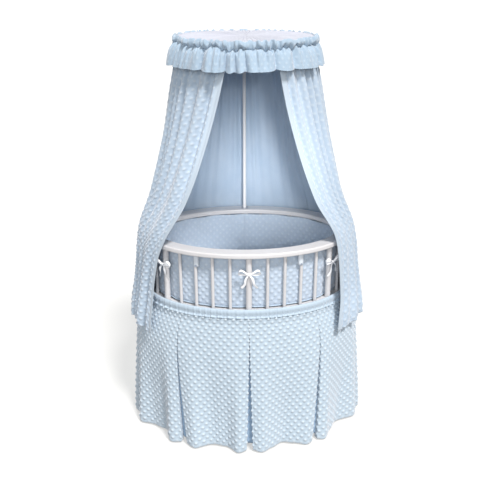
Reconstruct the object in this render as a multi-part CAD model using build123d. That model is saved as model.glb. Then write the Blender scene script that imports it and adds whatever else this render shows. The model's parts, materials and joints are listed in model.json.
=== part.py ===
from build123d import *
import math
import os

# Oval baby crib on casters, with a lift-out draped canopy, a padded bumper and a pleated skirt.
# Millimetres. The origin is on the floor under the middle of the oval, +Z is up, the front faces -Y.
# A "turn" is the angle round an oval, in degrees from the front (-Y) towards +X.

os.makedirs("parts", exist_ok=True)

# Top rail: one flat oval ring.
RAIL_A, RAIL_B = 400.0, 276.0  # outer half length and half width
RAIL_WIDTH, RAIL_THICK, RAIL_TOP = 54.0, 19.0, 800.0
RAIL_ROUND = 5.0
RAIL_UNDER = RAIL_TOP - RAIL_THICK

# Lower rail: a taller ring with a ledge inside that carries the mattress board.
LOW_A, LOW_B, LOW_WIDTH = 392.0, 268.0, 36.0
LOW_BOTTOM, LOW_TOP = 516.0, 568.0
LEDGE_WIDTH, LEDGE_TOP = 20.0, 530.0

# Spindles stand on an oval half way across both rails.
RING_A, RING_B = 374.0, 250.0
POSTS, SLATS_PER_BAY = 6, 4
POST_R, SLAT_R, BACK_POST_R = 11.0, 6.0, 14.0
POST_EXTRA = 4.0  # added to the spacing next to a post, so that the clear gaps stay equal
SOCKET_DEPTH = 10.0
GLUE_GAP = 0.05  # radial gap of a glued spindle or a screw in its hole
RUN_GAP = 0.3  # radial gap of a part that moves

# Legs and the storage shelf.
LEG_R, LEG_BOTTOM = 17.0, 66.0
STEM_HOLE_DEPTH = 46.0
STRETCHER_WIDE, STRETCHER_HIGH, STRETCHER_TOP = 22.0, 34.0, 150.0
SHELF_A, SHELF_B, SHELF_THICK = 362.0, 238.0, 15.0
SCREW_R, SCREW_HEAD_R, SCREW_HEAD = 2.5, 5.0, 3.0
LEG_SCREW_LENGTH, SHELF_SCREW_LENGTH = 62.0, 38.0

# Bed: board, mattress and bumper.
BOARD_A, BOARD_B, BOARD_THICK = 351.0, 227.0, 12.0
MATTRESS_A, MATTRESS_B, MATTRESS_THICK, MATTRESS_ROUND = 340.0, 216.0, 60.0, 9.0
BUMPER_A, BUMPER_B, BUMPER_THICK = 366.5, 242.5, 22.5
BUMPER_BOTTOM, BUMPER_TOP, BUMPER_ROUND = 576.0, 776.0, 8.0
NOTCH_GAP = 3.0  # the bumper gives way round the posts and their ribbons
BOW_HEIGHT = 717.0
TAB_BOTTOM, TAB_TOP, TAB_WIDE = 733.0, 777.0, 18.0

# Skirt: a gathered band over the lower rail and flared panels between inverted box pleats.
BAND_A, BAND_B, BAND_THICK = 402.0, 278.0, 9.8
BAND_BOTTOM, BAND_TOP = 524.0, 569.0
# Outside of the panels, from band to hem: height, half length, half width, slit at a pleat,
# and the width of the pleat's back. The cloth swells out at the sides just under the band.
SKIRT = [
    (BAND_BOTTOM, BAND_A, BAND_B, 0.8, 56.0),
    (490.0, 420.0, 284.0, 1.6, 58.0),
    (440.0, 437.0, 292.0, 3.4, 62.0),
    (390.0, 446.0, 300.0, 5.4, 66.0),
    (150.0, 463.0, 329.0, 17.0, 86.0),
    (12.0, 470.0, 346.0, 24.0, 96.0),
]
# Turns of the pleats of one side at the band and at the hem, from front to back.
PLEATS_TOP = [0.0, 39.3, 77.0, 109.0, 144.0, 180.0]
PLEATS_HEM = [0.0, 33.4, 76.0, 108.0, 146.0, 180.0]
PANELS, CLOTH, PLEAT_INSET = 10, 2.5, 3.2

# Canopy: pole, hoop and cloth.
POLE_R, POLE_BOTTOM, POLE_TOP = 7.0, 725.0, 1494.0
HOOP_Y, HOOP_R, HOOP_THICK = 50.0, 240.0, 3.0
HOOP_BOTTOM, HOOP_TOP = 1484.0, 1512.0
BAR_R, BAR_Z = 4.0, 1499.0
COVER_INNER, COVER_TOP = 241.2, 1514.8
RUFFLE_R, RUFFLE_TOP, RUFFLE_GATHER = 244.2, 1518.0, 1488.0
RUFFLE_HEM_R, RUFFLE_HEM = 276.0, 1420.0
FERRULE_R, FERRULE_FLANGE_R, FERRULE_FLANGE = 9.5, 15.0, 2.0
KNOB_Z, KNOB_SCREW_R, KNOB_R, KNOB_LONG = 793.5, 2.8, 11.0, 12.0
# Outside of the curtains, from hoop to hem: height, half length, half width, centre y,
# and the turns of the left and the right front edge.
DRAPE = [
    (1484.0, 240.8, 240.8, 50.0, 15.0, 24.0),
    (1335.0, 268.0, 256.0, 44.0, 21.0, 26.5),
    (1168.0, 301.0, 268.0, 34.0, 28.5, 33.0),
    (969.0, 353.0, 284.0, 19.0, 38.0, 42.0),
    (820.0, 406.0, 301.0, 8.0, 48.0, 51.5),
    (740.0, 420.0, 305.0, 6.0, 52.0, 52.5),
    (600.0, 438.0, 312.0, 4.0, 54.0, 52.0),
    (467.0, 456.0, 322.0, 2.0, 54.0, 48.0),
]
CURTAIN_SEAM = 140.0  # turn of the seams between the side curtains and the back one
SEAM_GAP = 0.4  # degrees
CURTAIN_THICK = 3.0

# Casters. Local x points from the swivel axis to the wheel.
WHEEL_R, WHEEL_WIDE, TRAIL = 25.0, 20.0, 18.0
AXLE_R, STEM_R, STEM_TOP = 3.0, 5.0, 106.0
PLATE, PLATE_INNER = 2.5, 11.0
CROWN_BOTTOM, CROWN_TOP = 56.0, 61.0
BRAKE_X, BRAKE_Z, BRAKE_R, BRAKE_PIN_R = 44.0, 44.0, 3.5, 2.0


def oval_point(a, b, turn, cy=0.0):
    t = math.radians(turn)
    return a * math.sin(t), cy - b * math.cos(t)


def outward(a, b, turn):
    """Unit normal of the oval at this turn."""
    t = math.radians(turn)
    x, y = b * math.sin(t), -a * math.cos(t)
    size = math.hypot(x, y)
    return x / size, y / size


def speed(a, b, turn):
    """Arc length per degree of turn."""
    t = math.radians(turn)
    return math.hypot(a * math.cos(t), b * math.sin(t)) * math.pi / 180


def oval_ring(a, b, width, bottom, top):
    ring = Ellipse(a, b) - Ellipse(a - width, b - width)
    return Pos(0, 0, bottom) * extrude(ring, top - bottom)


def rod(radius, bottom, top, x=0.0, y=0.0):
    return Pos(x, y, (bottom + top) / 2) * Cylinder(radius, top - bottom)


def rod_y(radius, front, back, x=0.0, z=0.0):
    turned = Rot(90, 0, 0) * Cylinder(radius, back - front)
    return Pos(x, (front + back) / 2, z) * turned


def arc_strip(a, b, start, end, z, thick, cy=0.0):
    """Flat strip of an oval between two turns, with its outer edge on the oval."""
    steps = max(4, math.ceil(abs(end - start) / 12))
    turns = [start + (end - start) * i / steps for i in range(steps + 1)]
    outer = [oval_point(a, b, t, cy) for t in turns]
    inner = [
        (x - thick * n[0], y - thick * n[1])
        for (x, y), n in zip(outer, (outward(a, b, t) for t in turns))
    ]
    outer = [Vector(x, y, z) for x, y in outer]
    inner = [Vector(x, y, z) for x, y in inner]
    edges = [
        Edge.make_spline(outer),
        Edge.make_line(outer[-1], inner[-1]),
        Edge.make_spline(inner[::-1]),
        Edge.make_line(inner[0], outer[0]),
    ]
    return Face(Wire(edges))


def save(name, *solids):
    shape = solids[0] if len(solids) == 1 else Compound(children=list(solids))
    export_step(shape, f"parts/{name}.step")


# Where the posts and slats stand: equal steps of arc round the ring.
FINE = 3600
arc = [0.0]
for i in range(FINE):
    arc.append(arc[-1] + speed(RING_A, RING_B, (i + 0.5) * 360 / FINE) * 360 / FINE)
RING_LENGTH = arc[-1]
BAY = RING_LENGTH / POSTS
PITCH = (BAY - 2 * POST_EXTRA) / (SLATS_PER_BAY + 1)


def turn_at(length):
    """Turn at which the ring's arc from the front reaches this length."""
    length %= RING_LENGTH
    i = next(k for k in range(FINE) if arc[k + 1] >= length)
    part = (length - arc[i]) / (arc[i + 1] - arc[i])
    return (i + part) * 360 / FINE


post_turns = [turn_at(i * BAY) for i in range(POSTS)]
post_spots = [oval_point(RING_A, RING_B, t) for t in post_turns]
slat_turns = [
    [turn_at(i * BAY + POST_EXTRA + j * PITCH) for j in range(1, SLATS_PER_BAY + 1)]
    for i in range(POSTS)
]
FRONT_POST, BACK_POST = 0, 3
leg_posts = {"fr": 1, "br": 2, "bl": 4, "fl": 5}
leg_spots = {name: post_spots[i] for name, i in leg_posts.items()}

# Rails, bored for the spindles.
top_rail = oval_ring(RAIL_A, RAIL_B, RAIL_WIDTH, RAIL_UNDER, RAIL_TOP)
top_rail = fillet(top_rail.edges().filter_by(GeomType.ELLIPSE), RAIL_ROUND)
lower_rail = oval_ring(LOW_A, LOW_B, LOW_WIDTH, LOW_BOTTOM, LOW_TOP)
lower_rail += oval_ring(LOW_A - 2, LOW_B - 2, LOW_WIDTH + LEDGE_WIDTH - 2, LOW_BOTTOM, LEDGE_TOP)

SLAT_TOP, SLAT_FOOT = RAIL_UNDER + SOCKET_DEPTH, LOW_TOP - SOCKET_DEPTH
for bay in slat_turns:
    for turn in bay:
        x, y = oval_point(RING_A, RING_B, turn)
        hole = rod(SLAT_R + GLUE_GAP, SLAT_FOOT, SLAT_TOP, x, y)
        top_rail -= hole
        lower_rail -= hole
for name, (x, y) in leg_spots.items():
    hole = rod(POST_R + GLUE_GAP, LOW_BOTTOM, SLAT_TOP, x, y)
    top_rail -= hole
    lower_rail -= hole
x, y = post_spots[FRONT_POST]
hole = rod(POST_R + GLUE_GAP, SLAT_FOOT, SLAT_TOP, x, y)
top_rail -= hole
lower_rail -= hole

# The back post is thicker: the canopy pole drops through a ferrule in the rail and into it.
POLE_Y = post_spots[BACK_POST][1]
BACK_POST_TOP = RAIL_UNDER + 6.0
POLE_HOLE = POLE_R + RUN_GAP
hole = rod(BACK_POST_R + GLUE_GAP, SLAT_FOOT, BACK_POST_TOP, 0, POLE_Y)
top_rail -= hole
lower_rail -= hole
top_rail -= rod(FERRULE_R + GLUE_GAP, BACK_POST_TOP, RAIL_TOP, 0, POLE_Y)
knob_hole = rod_y(KNOB_SCREW_R + RUN_GAP, POLE_Y, RAIL_B, 0, KNOB_Z)
top_rail -= knob_hole
save("top_rail", top_rail)
save("lower_rail", lower_rail)

ferrule = rod(FERRULE_R, BACK_POST_TOP, RAIL_TOP, 0, POLE_Y)
ferrule += rod(FERRULE_FLANGE_R, RAIL_TOP, RAIL_TOP + FERRULE_FLANGE, 0, POLE_Y)
ferrule -= rod(POLE_HOLE, BACK_POST_TOP, RAIL_TOP + FERRULE_FLANGE, 0, POLE_Y)
save("pole_ferrule", ferrule - knob_hole)

back_post = rod(BACK_POST_R, SLAT_FOOT, BACK_POST_TOP, 0, POLE_Y)
save("post_back", back_post - rod(POLE_HOLE, POLE_BOTTOM, BACK_POST_TOP, 0, POLE_Y))
save("post_front", rod(POST_R, SLAT_FOOT, SLAT_TOP, *post_spots[FRONT_POST]))

BAY_NAMES = ["front_right", "right", "back_right", "back_left", "left", "front_left"]
for name, bay in zip(BAY_NAMES, slat_turns):
    spots = [oval_point(RING_A, RING_B, t) for t in bay]
    save(f"slats_{name}", *[rod(SLAT_R, SLAT_FOOT, SLAT_TOP, x, y) for x, y in spots])

# Legs: each is one turned piece from the caster socket up to the top rail.
SCREW_Z = STRETCHER_TOP - STRETCHER_HIGH / 2
leg_screws, stretchers, shelf_screws = [], [], []


def leg_screw(x, y, side):
    """Screw along Y through a leg, with its head let into the outer face. side is -1 in front."""
    head = y + side * (LEG_R - 1.0)
    inner = head - side * SCREW_HEAD
    tip = head - side * LEG_SCREW_LENGTH
    screw = rod_y(SCREW_HEAD_R, min(head, inner), max(head, inner), x, SCREW_Z)
    return screw + rod_y(SCREW_R, min(inner, tip), max(inner, tip), x, SCREW_Z)


def leg_screw_hole(x, y, side):
    head = y + side * LEG_R
    inner = y + side * (LEG_R - 1.0 - SCREW_HEAD)
    tip = y + side * (LEG_R - 1.0 - LEG_SCREW_LENGTH)
    hole = rod_y(SCREW_HEAD_R + GLUE_GAP, min(head, inner), max(head, inner), x, SCREW_Z)
    return hole + rod_y(SCREW_R + GLUE_GAP, min(inner, tip), max(inner, tip), x, SCREW_Z)


for name, (x, y) in leg_spots.items():
    side = math.copysign(1, y)
    leg = rod(LEG_R, LEG_BOTTOM, LOW_BOTTOM, x, y)
    leg = chamfer(leg.edges().filter_by(GeomType.CIRCLE), 2.5)
    leg += rod(POST_R, LOW_BOTTOM, SLAT_TOP, x, y)
    leg -= rod(STEM_R + RUN_GAP, LEG_BOTTOM, LEG_BOTTOM + STEM_HOLE_DEPTH, x, y)
    save(f"leg_{name}", leg - leg_screw_hole(x, y, side))
    leg_screws.append(leg_screw(x, y, side))
save("leg_screws", *leg_screws)

shelf = Pos(0, 0, STRETCHER_TOP) * extrude(Ellipse(SHELF_A, SHELF_B), SHELF_THICK)
for x, y in leg_spots.values():
    shelf -= rod(LEG_R + 0.5, STRETCHER_TOP, STRETCHER_TOP + SHELF_THICK, x, y)
LEG_X, LEG_Y = leg_spots["br"]
SHELF_SCREW_TOP = STRETCHER_TOP + SHELF_THICK
for side in (-1, 1):
    bar = Pos(side * LEG_X, 0, SCREW_Z) * Box(STRETCHER_WIDE, 2 * LEG_Y, STRETCHER_HIGH)
    for end in (-1, 1):
        bar -= rod(LEG_R, 0, LOW_BOTTOM, side * LEG_X, end * LEG_Y)
        bar -= leg_screw_hole(side * LEG_X, end * LEG_Y, end)
        spot = (side * LEG_X, end * LEG_Y / 3)
        tip = SHELF_SCREW_TOP - SHELF_SCREW_LENGTH
        neck = SHELF_SCREW_TOP - SCREW_HEAD
        screw = rod(SCREW_HEAD_R, neck, SHELF_SCREW_TOP, *spot) + rod(SCREW_R, tip, neck, *spot)
        hole = rod(SCREW_HEAD_R + GLUE_GAP, neck, SHELF_SCREW_TOP, *spot)
        hole += rod(SCREW_R + GLUE_GAP, tip, neck, *spot)
        bar -= hole
        shelf -= hole
        shelf_screws.append(screw)
    stretchers.append(bar)
save("stretchers", *stretchers)
save("shelf", shelf)
save("shelf_screws", *shelf_screws)

# Bed.
board = Pos(0, 0, LEDGE_TOP) * extrude(Ellipse(BOARD_A, BOARD_B), BOARD_THICK)
save("mattress_board", board)
mattress = extrude(Ellipse(MATTRESS_A, MATTRESS_B), MATTRESS_THICK)
mattress = fillet(mattress.edges().filter_by(GeomType.ELLIPSE), MATTRESS_ROUND)
save("mattress", Pos(0, 0, LEDGE_TOP + BOARD_THICK) * mattress)

bumper = oval_ring(BUMPER_A, BUMPER_B, BUMPER_THICK, BUMPER_BOTTOM, BUMPER_TOP)
bumper = fillet(bumper.edges().filter_by(GeomType.ELLIPSE), BUMPER_ROUND)
tab_turns = [slat_turns[0][2], slat_turns[5][1], slat_turns[2][1], slat_turns[3][2]]
for i, (x, y) in enumerate(post_spots):
    radius = BACK_POST_R if i == BACK_POST else POST_R
    bumper -= rod(radius + NOTCH_GAP, BUMPER_BOTTOM, BUMPER_TOP, x, y)
for turn in tab_turns:
    bumper -= rod(SLAT_R + NOTCH_GAP, BUMPER_BOTTOM, BUMPER_TOP, *oval_point(RING_A, RING_B, turn))
for name, side in (("left", -1), ("right", 1)):
    half = Pos(side * (500 + 0.5), 0, 700) * Box(1000, 1000, 400)
    save(f"bumper_{name}", bumper & half)


def placed(shape, turn, z):
    """Puts a shape made at the front of the ring, facing -Y, at a turn of the spindle ring."""
    x, y = oval_point(RING_A, RING_B, turn)
    nx, ny = outward(RING_A, RING_B, turn)
    return Pos(x, y, z) * Rot(0, 0, math.degrees(math.atan2(nx, -ny))) * shape


def bow(radius):
    """Ribbon round a post, tied in a bow in front: a knot, two loops and two tails."""
    front = -(radius + 6.0)
    shape = Cylinder(radius + 2.4, 10) - Cylinder(radius + 0.4, 10)
    shape += Pos(0, front, 0) * Box(12, 9, 11)
    for side in (-1, 1):
        loop = Rot(0, -side * 15, 0) * (Rot(90, 0, 0) * extrude(Ellipse(19, 8.5), 3.5, both=True))
        tail = Rot(0, -side * 20, 0) * (Pos(0, 0, -19) * Box(9, 3, 34))
        shape += Pos(side * 20, front, 6) * loop
        shape += Pos(side * 2, front, 0) * tail
    return shape


bows = []
for i, turn in enumerate(post_turns):
    bows.append(placed(bow(BACK_POST_R if i == BACK_POST else POST_R), turn, BOW_HEIGHT))
save("bows", *bows)

# Tabs that hold the bumper, one round a slat in each front and back bay.
tab_high = TAB_TOP - TAB_BOTTOM
tab = Cylinder(SLAT_R + 2.6, 15) - Cylinder(SLAT_R + 0.4, 15)
tab = Pos(0, 0, 7.5) * tab
tab += Pos(0, -(SLAT_R + 1.6), tab_high / 2) * Box(TAB_WIDE, 2.4, tab_high)
tab += Pos(0, -(SLAT_R + 3.2), 7.5) * (Rot(90, 0, 0) * Cylinder(3.5, 2.4))
save("bumper_tabs", *[placed(tab, t, TAB_BOTTOM) for t in tab_turns])

# Skirt. The slits hang straight down, so their turns change a little from band to hem.
save("skirt_band", oval_ring(BAND_A, BAND_B, BAND_THICK, BAND_BOTTOM, BAND_TOP))
right_pleats = list(zip(PLEATS_TOP, PLEATS_HEM))
left_pleats = [(360 - top, 360 - hem) for top, hem in right_pleats[-2::-1]]
pleats = right_pleats + left_pleats


def pleat_turn(i, z):
    """Turn of pleat i at a height."""
    top, hem = pleats[i]
    drop = (SKIRT[0][0] - z) / (SKIRT[0][0] - SKIRT[-1][0])
    return top + (hem - top) * drop


def skirt_piece(inset, thick, spans):
    """Cloth between two turns at each level, given as (start, end) pairs."""
    strips = [
        arc_strip(a - inset, b - inset, start, end, z, thick)
        for (z, a, b, *_), (start, end) in zip(SKIRT, spans)
    ]
    return loft(strips, ruled=True)


pleat_backs = []
for i in range(PANELS):
    spans, backs = [], []
    for z, a, b, slit, back in SKIRT:
        first, last = pleat_turn(i, z), pleat_turn(i + 1, z)
        spans.append((first + slit / 2 / speed(a, b, first), last - slit / 2 / speed(a, b, last)))
        half = back / 2 / speed(a, b, first)
        backs.append((first - half, first + half))
    save(f"skirt_panel_{i + 1}", skirt_piece(0, CLOTH, spans))
    pleat_backs.append(skirt_piece(PLEAT_INSET, CLOTH, backs))
save("skirt_pleats", *pleat_backs)

# Canopy frame.
hoop_ring = Circle(HOOP_R) - Circle(HOOP_R - HOOP_THICK)
hoop = Pos(0, HOOP_Y, HOOP_BOTTOM) * extrude(hoop_ring, HOOP_TOP - HOOP_BOTTOM)
bar_ends = (HOOP_Y - HOOP_R, HOOP_Y + HOOP_R)
save("hoop", hoop - rod_y(BAR_R + GLUE_GAP, *bar_ends, 0, BAR_Z))
save("hoop_bar", rod_y(BAR_R, *bar_ends, 0, BAR_Z))
save("pole", rod(POLE_R, POLE_BOTTOM, POLE_TOP, 0, POLE_Y))
TEE_R, TEE_BOTTOM, TEE_TOP = 11.0, 1462.0, 1508.0
tee = rod(TEE_R, TEE_BOTTOM, TEE_TOP, 0, POLE_Y)
tee -= rod(POLE_R + GLUE_GAP, TEE_BOTTOM, POLE_TOP, 0, POLE_Y)
tee -= rod_y(BAR_R + GLUE_GAP, POLE_Y - TEE_R, POLE_Y + TEE_R, 0, BAR_Z)
save("pole_tee", tee)

knob_front = RAIL_B + 1.0
knob = rod_y(KNOB_R, knob_front, knob_front + KNOB_LONG, 0, KNOB_Z)
for i in range(6):
    t = math.radians(60 * i + 30)
    grip = rod_y(3.0, knob_front, knob_front + KNOB_LONG)
    knob -= Pos((KNOB_R + 1) * math.cos(t), 0, KNOB_Z + (KNOB_R + 1) * math.sin(t)) * grip
knob += rod_y(KNOB_SCREW_R, POLE_Y + POLE_R + RUN_GAP, knob_front, 0, KNOB_Z)
save("clamp_knob", knob)

# Canopy cloth: a cap over the hoop, a gathered ruffle and the curtains.
cap = rod(COVER_INNER + CLOTH, HOOP_BOTTOM, COVER_TOP, 0, HOOP_Y)
save("canopy_cover", cap - rod(COVER_INNER, HOOP_BOTTOM, COVER_TOP - CLOTH, 0, HOOP_Y))

ruffle_profile = [
    (RUFFLE_R, RUFFLE_TOP),
    (RUFFLE_R + 3, RUFFLE_TOP),
    (RUFFLE_R + 3.4, RUFFLE_GATHER + 2),
    (RUFFLE_HEM_R + 3, RUFFLE_HEM + 1),
    (RUFFLE_HEM_R, RUFFLE_HEM),
    (RUFFLE_R, RUFFLE_GATHER),
]
ruffle_face = Face(Wire.make_polygon([Vector(r, 0, z) for r, z in ruffle_profile], close=True))
save("ruffle", Pos(0, HOOP_Y, 0) * revolve(ruffle_face, Axis.Z))


def curtain(side):
    """Drape on one side from its front edge to the seam, or across the back when side is 0."""
    strips = []
    for z, a, b, cy, left, right in DRAPE:
        start, end = {
            -1: (-CURTAIN_SEAM, -left),
            0: (CURTAIN_SEAM + SEAM_GAP, 360 - CURTAIN_SEAM - SEAM_GAP),
            1: (right, CURTAIN_SEAM),
        }[side]
        strips.append(arc_strip(a, b, start, end, z, CURTAIN_THICK, cy))
    return loft(strips)


save("curtain_left", curtain(-1))
save("curtain_right", curtain(1))
save("curtain_back", curtain(0))

# Casters.


def along_y(profile, half):
    """Extrudes an XZ outline to both sides of y = 0."""
    face = Face(Wire.make_polygon([Vector(x, 0, z) for x, z in profile], close=True))
    return extrude(face, half, dir=(0, 1, 0), both=True)


def hinge_pin(radius, half, x, z):
    return rod_y(radius, -half, half, x, z)


plates_outer = PLATE_INNER + PLATE
plate_outline = [
    (-12, CROWN_TOP), (14, CROWN_TOP), (46, 50), (50, 44), (44, 38), (26, 17), (10, 17), (-10, 44),
]
fork = along_y(plate_outline, plates_outer)
fork -= Pos(19, 0, 20) * Box(90, 2 * PLATE_INNER, 2 * (CROWN_BOTTOM - 20))
fork += rod(16, CROWN_TOP - 3, CROWN_TOP)
fork += rod(9, CROWN_TOP, LEG_BOTTOM - 0.5)
fork += rod(STEM_R, CROWN_TOP, STEM_TOP)
fork -= hinge_pin(AXLE_R, plates_outer, TRAIL, WHEEL_R)
fork -= hinge_pin(BRAKE_PIN_R + RUN_GAP, plates_outer, BRAKE_X, BRAKE_Z)
axle = hinge_pin(AXLE_R, plates_outer, TRAIL, WHEEL_R)

wheel = Cylinder(WHEEL_R, WHEEL_WIDE)
wheel = fillet(wheel.edges().filter_by(GeomType.CIRCLE), 3)
for side in (-1, 1):
    dish = Cylinder(17, 3) - Cylinder(7, 3)
    wheel -= Pos(0, 0, side * (WHEEL_WIDE / 2 - 1.5)) * dish
wheel -= Cylinder(AXLE_R + RUN_GAP, WHEEL_WIDE)
wheel = Pos(TRAIL, 0, WHEEL_R) * (Rot(90, 0, 0) * wheel)

# The lever's nose stays just clear of the tread when the pedal is down.
NOSE = math.radians(22)
reach = math.hypot(BRAKE_X - TRAIL, BRAKE_Z - WHEEL_R)
to_wheel = ((TRAIL - BRAKE_X) / reach, (WHEEL_R - BRAKE_Z) / reach)
nose_x = to_wheel[0] * math.cos(NOSE) - to_wheel[1] * math.sin(NOSE)
nose_z = to_wheel[0] * math.sin(NOSE) + to_wheel[1] * math.cos(NOSE)
lever = hinge_pin(BRAKE_R, 10.4, BRAKE_X, BRAKE_Z)
lever += hinge_pin(BRAKE_PIN_R, plates_outer, BRAKE_X, BRAKE_Z)
lever += hinge_pin(2.2, 9, BRAKE_X + 4.5 * nose_x, BRAKE_Z + 4.5 * nose_z)
pedal = [(44, 44), (47, 47.5), (66, 55), (67, 52), (48, 43)]
lever += along_y(pedal, 10)

for name, (x, y) in leg_spots.items():
    spot = Pos(x, y, 0) * Rot(0, 0, 90)
    save(f"caster_fork_{name}", spot * fork, spot * axle)
    save(f"caster_wheel_{name}", spot * wheel)
    save(f"caster_brake_{name}", spot * lever)
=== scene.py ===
"""Looks of the oval baby crib with canopy: cloth, bows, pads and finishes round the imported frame."""
import json
import math

import bpy
import numpy as np
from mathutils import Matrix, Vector


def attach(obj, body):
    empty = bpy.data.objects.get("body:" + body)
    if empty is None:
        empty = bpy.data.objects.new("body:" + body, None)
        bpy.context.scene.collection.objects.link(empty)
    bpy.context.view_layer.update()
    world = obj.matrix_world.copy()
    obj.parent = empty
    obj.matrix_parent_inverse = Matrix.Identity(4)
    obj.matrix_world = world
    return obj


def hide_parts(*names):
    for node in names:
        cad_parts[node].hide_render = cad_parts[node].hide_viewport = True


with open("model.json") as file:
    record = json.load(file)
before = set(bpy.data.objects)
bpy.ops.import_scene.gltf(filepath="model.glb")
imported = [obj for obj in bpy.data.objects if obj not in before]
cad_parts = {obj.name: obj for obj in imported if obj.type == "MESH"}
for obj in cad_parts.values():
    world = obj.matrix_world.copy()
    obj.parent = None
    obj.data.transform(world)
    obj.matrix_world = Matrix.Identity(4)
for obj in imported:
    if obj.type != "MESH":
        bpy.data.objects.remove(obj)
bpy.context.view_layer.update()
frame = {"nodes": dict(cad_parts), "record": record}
NODES = frame["nodes"]
RNG = np.random.default_rng(11)
TAU = 2 * math.pi
join = np.concatenate

# Sizes are in metres. Dots of the plush: half steps of the staggered lattice, the dot's radius and height.
DOT_U, DOT_V, DOT_R, DOT_H = 0.0142, 0.0150, 0.0080, 0.0040
PLUSH, THIN = 0.0016, 0.0012                   # how thick the plush and the thin cloth are
UP = np.array([0, 0, 1.0])
# Ovals as (half length, half depth): the posts' centres, the lower rail, its outer face, the bumper
POSTS, RAIL, RAIL_FACE = (0.374, 0.250), (0.40, 0.276), (0.3925, 0.2685)
BUMPER, BUMPER_CUT = (0.3535, 0.2295), (0.36, 0.236)
HOOP_Y, COVER_R = 0.05, 0.2438


# ---- small maths

def lerp(a, b, t):
    return a + (b - a) * t


def step(x, a, b):
    t = np.clip((np.asarray(x, float) - a) / (b - a), 0, 1)
    return t * t * (3 - 2 * t)


def bell(x, mid, width):
    return np.exp(-(((x - mid) / width) ** 2))


def through(x, xs, ys):
    """A smooth line through the points (xs rising) that doesn't overshoot them."""
    x, xs, ys = np.asarray(x, float), np.asarray(xs, float), np.asarray(ys, float)
    h = np.diff(xs)
    d = np.diff(ys) / h
    m = join([[d[0]], np.zeros(len(d) - 1), [d[-1]]])
    same = d[:-1] * d[1:] > 0
    m[1:-1][same] = 2 * d[:-1][same] * d[1:][same] / (d[:-1] + d[1:])[same]
    i = np.clip(np.searchsorted(xs, x) - 1, 0, len(h) - 1)
    t = (x - xs[i]) / h[i]
    return ((2 * t**3 - 3 * t**2 + 1) * ys[i] + (t**3 - 2 * t**2 + t) * h[i] * m[i]
            + (3 * t**2 - 2 * t**3) * ys[i + 1] + (t**3 - t**2) * h[i] * m[i + 1])


def wander(x, terms, size, low=1):
    """Slow seeded noise with period 1 in x."""
    out = np.zeros_like(np.asarray(x, float))
    for k in range(low, low + terms):
        a, p = RNG.normal() / math.sqrt(k), RNG.uniform(0, TAU)
        out += a * np.sin(TAU * k * x + p)
    return out * size / math.sqrt(terms)


def folds(phase, sharp=0.35):
    """Round folds between -1 and 1: phase is in turns."""
    s = np.sin(TAU * phase)
    return np.tanh((1 + sharp) * s) / math.tanh(1 + sharp)


def puffs(phase, power=0.65):
    """Gathers between -1 and 1: full rounded crests with narrow valleys. Phase is in turns."""
    return 2 * np.abs(np.sin(math.pi * phase)) ** power - 1


def rise(values):
    """Running sum of the values, from 0."""
    return join([[0], np.cumsum(values)])


def oval(a, b, turn, cy=0.0):
    """A point on the oval, and its outward normal. Turn is in radians from -Y towards +X."""
    s, c = np.sin(turn), np.cos(turn)
    p = np.stack([a * s, cy - b * c, np.zeros_like(s * a)], -1)
    n = np.stack([s / a, -c / b, np.zeros_like(s * a)], -1)
    return p, n / np.linalg.norm(n, axis=-1, keepdims=True)


def speed(a, b, turn):
    """Length along the oval per radian of turn."""
    return np.hypot(a * np.cos(turn), b * np.sin(turn))


def arc_steps(a, b, t0, t1):
    """Turns from t0 to t1 (radians), and the mean speed over each step between them."""
    t = np.linspace(t0, t1, 721)
    d = speed(a, b, t)
    return t, (d[1:] + d[:-1]) / 2


def turns_at(a, b, t0, t1, share):
    """Turns at the given shares of the oval's length from t0 to t1."""
    t, steps = arc_steps(a, b, t0, t1)
    s = rise(steps)
    return np.interp(share, s / s[-1], t)


def oval_length(a, b, t0, t1):
    t, steps = arc_steps(a, b, t0, t1)
    return float(steps.sum() * (t[1] - t[0]))


def dots(u, v, height):
    """Height of the raised dots at cloth coordinates u, v."""
    x, y = u / DOT_U, v / DOT_V
    m, n = np.round(x), np.round(y)
    rx, ry = x - m, y - n
    odd = (m + n) % 2 != 0
    by_x = np.abs(rx) > np.abs(ry)
    m = np.where(odd & by_x, m + np.where(rx >= 0, 1, -1), m)
    n = np.where(odd & ~by_x, n + np.where(ry >= 0, 1, -1), n)
    r = np.hypot((x - m) * DOT_U, (y - n) * DOT_V) / DOT_R
    return height * np.clip(1 - r * r, 0, 1) ** 1.3


def normals(p):
    """Normals of a grid of points (rows, columns), along columns x rows."""
    n = np.cross(np.gradient(p, axis=1), np.gradient(p, axis=0))
    return n / np.maximum(np.linalg.norm(n, axis=-1, keepdims=True), 1e-12)


def facing(n, at, way):
    """The normals n, turned round if the one at this place points against way."""
    return -n if (n[at] * way).sum() < 0 else n


def grid_uv(across, down):
    """Cloth coordinates of a grid: across for its columns, down for its rows."""
    return np.stack(np.broadcast_arrays(across[None, :], down[:, None]), -1)


def place(name, data):
    ob = bpy.data.objects.new(name, data)
    bpy.context.scene.collection.objects.link(ob)
    return ob


# ---- meshes

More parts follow.
